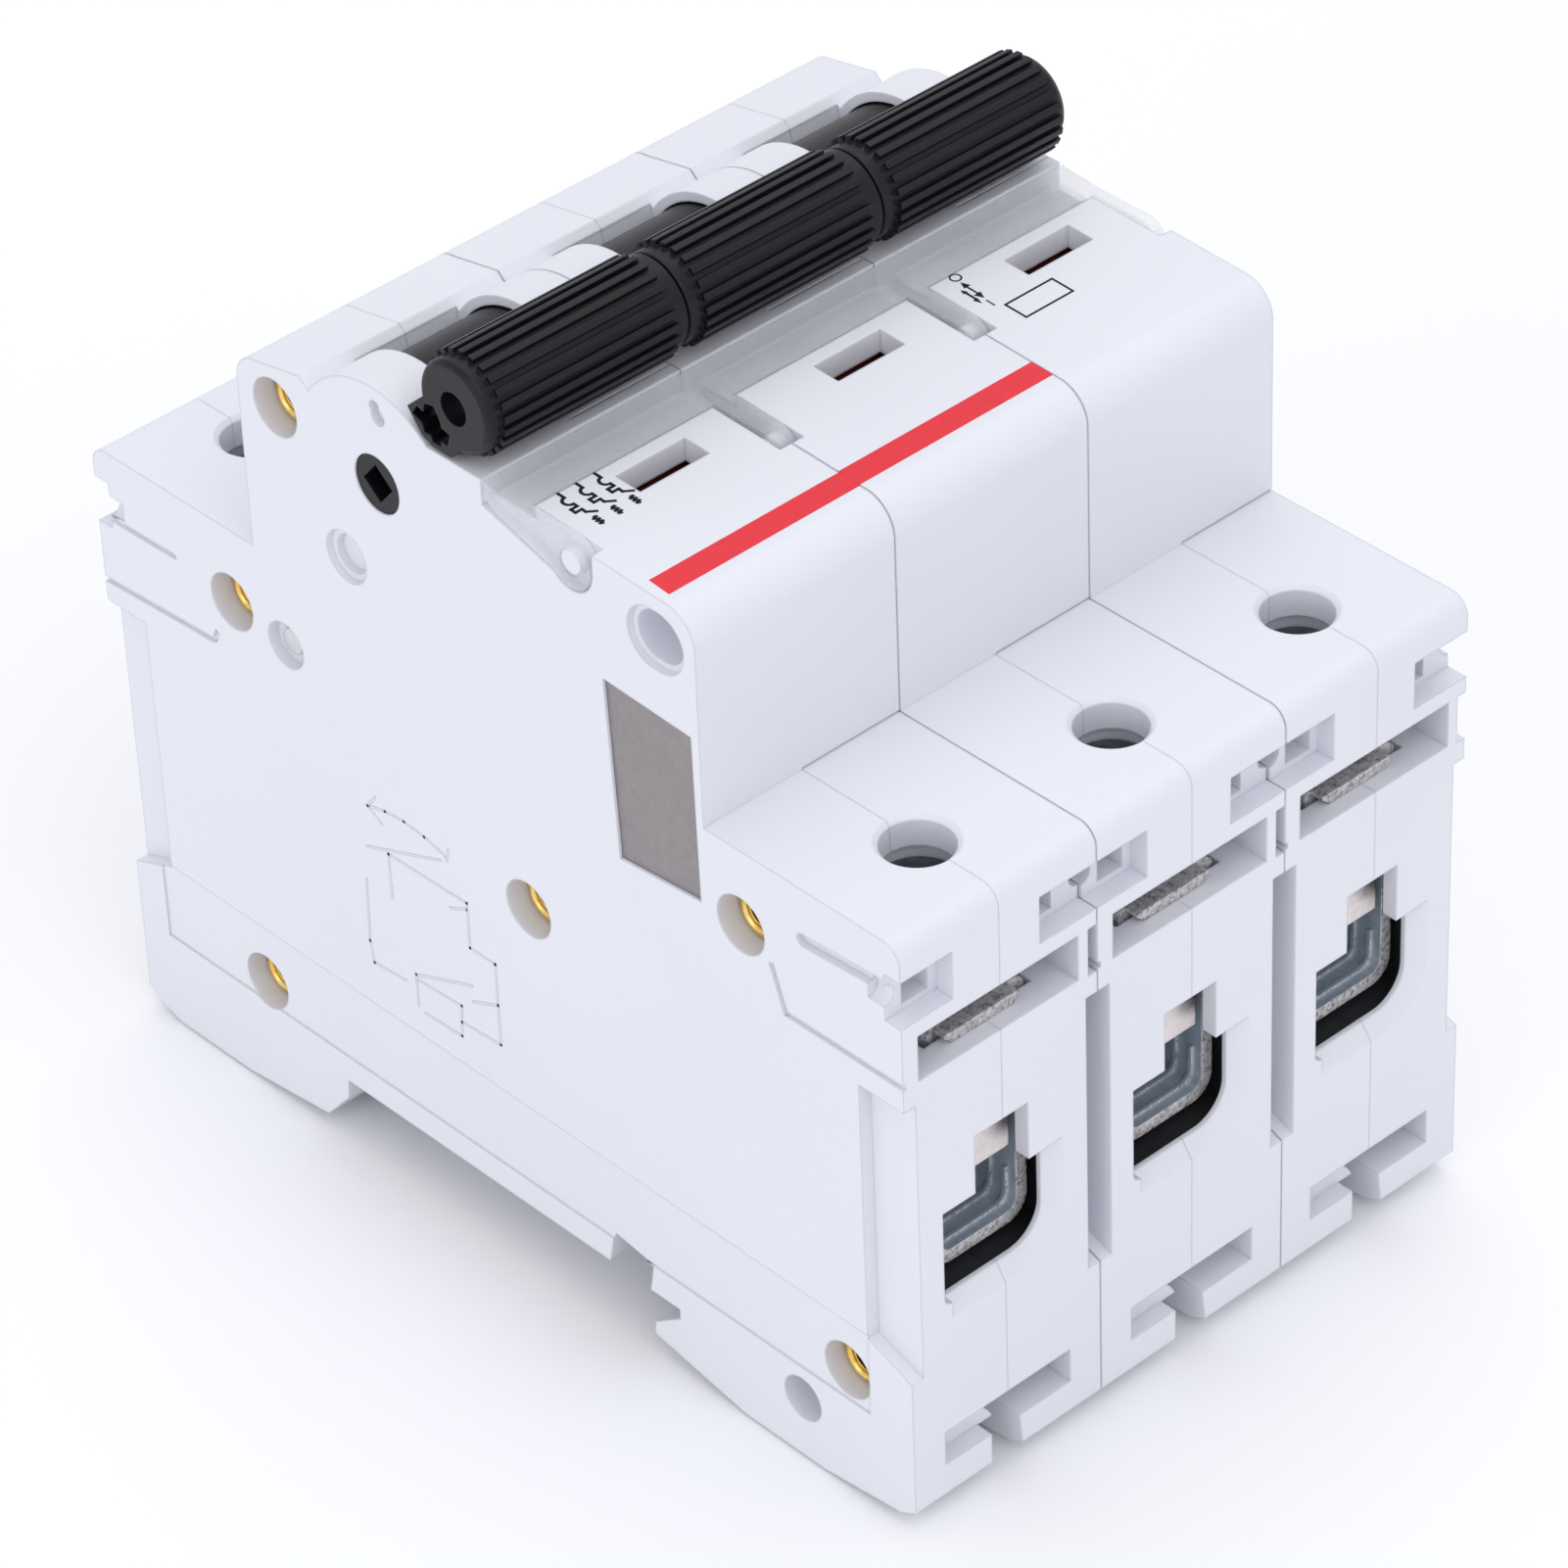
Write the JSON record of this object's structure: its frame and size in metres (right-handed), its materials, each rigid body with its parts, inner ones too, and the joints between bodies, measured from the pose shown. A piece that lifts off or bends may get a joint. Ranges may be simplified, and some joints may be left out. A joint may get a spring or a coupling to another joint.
{
  "type": "three pole miniature circuit breaker",
  "caption": "Rail mounted modular circuit breaker with tied toggle handles, cage terminals at both ends, indicator windows and a hinged clear label cover.",
  "frame": {"origin": "centre of the base, on the plane the case stands on", "axes": "+X along the mounting rail, +Y from the line terminals to the load terminals, +Z from the rail side up to the handle"},
  "size_m": [0.053, 0.0812, 0.0759],
  "materials": {
    "housing": "pale grey moulded plastic",
    "handle": "black moulded plastic",
    "clear": "clear plastic",
    "brass": "yellow brass",
    "plate": "grey paint",
    "steel": "bright steel",
    "zinc_steel": "blue zinc plate",
    "nickel": "nickel plate",
    "copper": "copper",
    "bimetal": "rolled strip",
    "cream": "cream plastic",
    "flag": "red plastic",
    "paper": "grey paper label"
  },
  "bodies": {
    "case": {"left_shell_1": "housing", "left_shell_2": "housing", "left_shell_3": "housing", "right_shell_1": "housing", "right_shell_2": "housing", "right_shell_3": "housing", "line_terminal_1": "nickel", "line_terminal_2": "nickel", "line_terminal_3": "nickel", "load_terminal_1": "nickel", "load_terminal_2": "nickel", "load_terminal_3": "nickel", "arc_chute_1": "steel", "arc_chute_2": "steel", "arc_chute_3": "steel", "trip_coil_1": "copper", "trip_coil_2": "copper", "trip_coil_3": "copper", "assembly_rivets": "brass", "side_plate": "plate", "label_strips": "paper", "coil_yokes": "zinc_steel", "bimetals": "bimetal"},
    "handle": {"toggle_1": "handle", "toggle_2": "handle", "toggle_3": "handle", "handle_tie_pin": "steel"},
    "links": {"handle_links": "steel"},
    "cover": {"label_cover": "clear"},
    "trip_shaft": {"trip_bar": "steel", "trip_lever_1": "cream", "trip_lever_2": "cream", "trip_lever_3": "cream"},
    "contact_1": {"contact_carrier_1": "cream", "moving_contact_1": "copper"},
    "indicator_1": {"flag_1": "flag"},
    "armature_1": {"plunger_1": "steel"},
    "rail_clip_1": {"din_clip_1": "housing"},
    "front_clamp_screw_1": {"front_screw_1": "zinc_steel"},
    "front_clamp_1": {"front_cage_1": "zinc_steel"},
    "back_clamp_screw_1": {"back_screw_1": "zinc_steel"},
    "back_clamp_1": {"back_cage_1": "zinc_steel"},
    "contact_2": {"contact_carrier_2": "cream", "moving_contact_2": "copper"},
    "indicator_2": {"flag_2": "flag"},
    "armature_2": {"plunger_2": "steel"},
    "rail_clip_2": {"din_clip_2": "housing"},
    "front_clamp_screw_2": {"front_screw_2": "zinc_steel"},
    "front_clamp_2": {"front_cage_2": "zinc_steel"},
    "back_clamp_screw_2": {"back_screw_2": "zinc_steel"},
    "back_clamp_2": {"back_cage_2": "zinc_steel"},
    "contact_3": {"contact_carrier_3": "cream", "moving_contact_3": "copper"},
    "indicator_3": {"flag_3": "flag"},
    "armature_3": {"plunger_3": "steel"},
    "rail_clip_3": {"din_clip_3": "housing"},
    "front_clamp_screw_3": {"front_screw_3": "zinc_steel"},
    "front_clamp_3": {"front_cage_3": "zinc_steel"},
    "back_clamp_screw_3": {"back_screw_3": "zinc_steel"},
    "back_clamp_3": {"back_cage_3": "zinc_steel"}
  },
  "joints": [
    {"name": "handle_hinge", "type": "hinge", "parent": "case", "child": "handle", "pos_m": [0, 0.00875, 0.06195], "axis": [-1, 0, 0], "range_deg": [0, 78]},
    {"name": "link_pivot", "type": "hinge", "parent": "handle", "child": "links", "pos_m": [0, 0.01, 0.06482], "axis": [-1, 0, 0], "range_deg": [-75.6, 0]},
    {"name": "label_cover_hinge", "type": "hinge", "parent": "case", "child": "cover", "pos_m": [0, -0.0106, 0.0652], "axis": [1, 0, 0], "range_deg": [0, 75]},
    {"name": "trip_shaft_hinge", "type": "hinge", "parent": "case", "child": "trip_shaft", "pos_m": [0, 0.0203, 0.0429], "axis": [1, 0, 0], "range_deg": [0, 5], "stiffness_Nm_per_rad": 0.01},
    {"name": "contact_hinge_1", "type": "hinge", "parent": "case", "child": "contact_1", "pos_m": [-0.0177, -0.007, 0.0435], "axis": [-1, 0, 0], "range_deg": [0, 25.9]},
    {"name": "indicator_slide_1", "type": "slide", "parent": "case", "child": "indicator_1", "axis": [0, 1, 0], "range_m": [0, 0.005]},
    {"name": "armature_slide_1", "type": "slide", "parent": "case", "child": "armature_1", "axis": [0, 1, 0], "range_m": [0, 0.0026], "stiffness_N_per_m": 50},
    {"name": "rail_clip_slide_1", "type": "slide", "parent": "case", "child": "rail_clip_1", "axis": [0, 1, 0], "range_m": [0, 0.0036], "stiffness_N_per_m": 1500},
    {"name": "front_clamp_slide_1", "type": "slide", "parent": "case", "child": "front_clamp_1", "axis": [0, 0, 1], "range_m": [0, 0.0052]},
    {"name": "front_screw_turn_1", "type": "hinge", "parent": "case", "child": "front_clamp_screw_1", "pos_m": [-0.0177, -0.0332, 0.0455], "axis": [0, 0, -1], "range_deg": [0, 2340]},
    {"name": "back_clamp_slide_1", "type": "slide", "parent": "case", "child": "back_clamp_1", "axis": [0, 0, 1], "range_m": [0, 0.0052]},
    {"name": "back_screw_turn_1", "type": "hinge", "parent": "case", "child": "back_clamp_screw_1", "pos_m": [-0.0177, 0.0332, 0.0455], "axis": [0, 0, -1], "range_deg": [0, 2340]},
    {"name": "contact_hinge_2", "type": "hinge", "parent": "case", "child": "contact_2", "pos_m": [0, -0.007, 0.0435], "axis": [-1, 0, 0], "range_deg": [0, 25.9]},
    {"name": "indicator_slide_2", "type": "slide", "parent": "case", "child": "indicator_2", "axis": [0, 1, 0], "range_m": [0, 0.005]},
    {"name": "armature_slide_2", "type": "slide", "parent": "case", "child": "armature_2", "axis": [0, 1, 0], "range_m": [0, 0.0026], "stiffness_N_per_m": 50},
    {"name": "rail_clip_slide_2", "type": "slide", "parent": "case", "child": "rail_clip_2", "axis": [0, 1, 0], "range_m": [0, 0.0036], "stiffness_N_per_m": 1500},
    {"name": "front_clamp_slide_2", "type": "slide", "parent": "case", "child": "front_clamp_2", "axis": [0, 0, 1], "range_m": [0, 0.0052]},
    {"name": "front_screw_turn_2", "type": "hinge", "parent": "case", "child": "front_clamp_screw_2", "pos_m": [0, -0.0332, 0.0455], "axis": [0, 0, -1], "range_deg": [0, 2340]},
    {"name": "back_clamp_slide_2", "type": "slide", "parent": "case", "child": "back_clamp_2", "axis": [0, 0, 1], "range_m": [0, 0.0052]},
    {"name": "back_screw_turn_2", "type": "hinge", "parent": "case", "child": "back_clamp_screw_2", "pos_m": [0, 0.0332, 0.0455], "axis": [0, 0, -1], "range_deg": [0, 2340]},
    {"name": "contact_hinge_3", "type": "hinge", "parent": "case", "child": "contact_3", "pos_m": [0.0177, -0.007, 0.0435], "axis": [-1, 0, 0], "range_deg": [0, 25.9]},
    {"name": "indicator_slide_3", "type": "slide", "parent": "case", "child": "indicator_3", "axis": [0, 1, 0], "range_m": [0, 0.005]},
    {"name": "armature_slide_3", "type": "slide", "parent": "case", "child": "armature_3", "axis": [0, 1, 0], "range_m": [0, 0.0026], "stiffness_N_per_m": 50},
    {"name": "rail_clip_slide_3", "type": "slide", "parent": "case", "child": "rail_clip_3", "axis": [0, 1, 0], "range_m": [0, 0.0036], "stiffness_N_per_m": 1500},
    {"name": "front_clamp_slide_3", "type": "slide", "parent": "case", "child": "front_clamp_3", "axis": [0, 0, 1], "range_m": [0, 0.0052]},
    {"name": "front_screw_turn_3", "type": "hinge", "parent": "case", "child": "front_clamp_screw_3", "pos_m": [0.0177, -0.0332, 0.0455], "axis": [0, 0, -1], "range_deg": [0, 2340]},
    {"name": "back_clamp_slide_3", "type": "slide", "parent": "case", "child": "back_clamp_3", "axis": [0, 0, 1], "range_m": [0, 0.0052]},
    {"name": "back_screw_turn_3", "type": "hinge", "parent": "case", "child": "back_clamp_screw_3", "pos_m": [0.0177, 0.0332, 0.0455], "axis": [0, 0, -1], "range_deg": [0, 2340]}
  ],
  "couplings": [
    {"joint": "link_pivot", "follows": "handle_hinge", "ratio": -0.966},
    {"joint": "contact_hinge_1", "follows": "handle_hinge", "ratio": 0.33},
    {"joint": "indicator_slide_1", "follows": "handle_hinge", "m_per_rad": 0.003672},
    {"joint": "front_screw_turn_1", "follows": "front_clamp_slide_1", "rad_per_m": 7854},
    {"joint": "back_screw_turn_1", "follows": "back_clamp_slide_1", "rad_per_m": 7854},
    {"joint": "contact_hinge_2", "follows": "handle_hinge", "ratio": 0.33},
    {"joint": "indicator_slide_2", "follows": "handle_hinge", "m_per_rad": 0.003672},
    {"joint": "front_screw_turn_2", "follows": "front_clamp_slide_2", "rad_per_m": 7854},
    {"joint": "back_screw_turn_2", "follows": "back_clamp_slide_2", "rad_per_m": 7854},
    {"joint": "contact_hinge_3", "follows": "handle_hinge", "ratio": 0.33},
    {"joint": "indicator_slide_3", "follows": "handle_hinge", "m_per_rad": 0.003672},
    {"joint": "front_screw_turn_3", "follows": "front_clamp_slide_3", "rad_per_m": 7854},
    {"joint": "back_screw_turn_3", "follows": "back_clamp_slide_3", "rad_per_m": 7854}
  ]
}
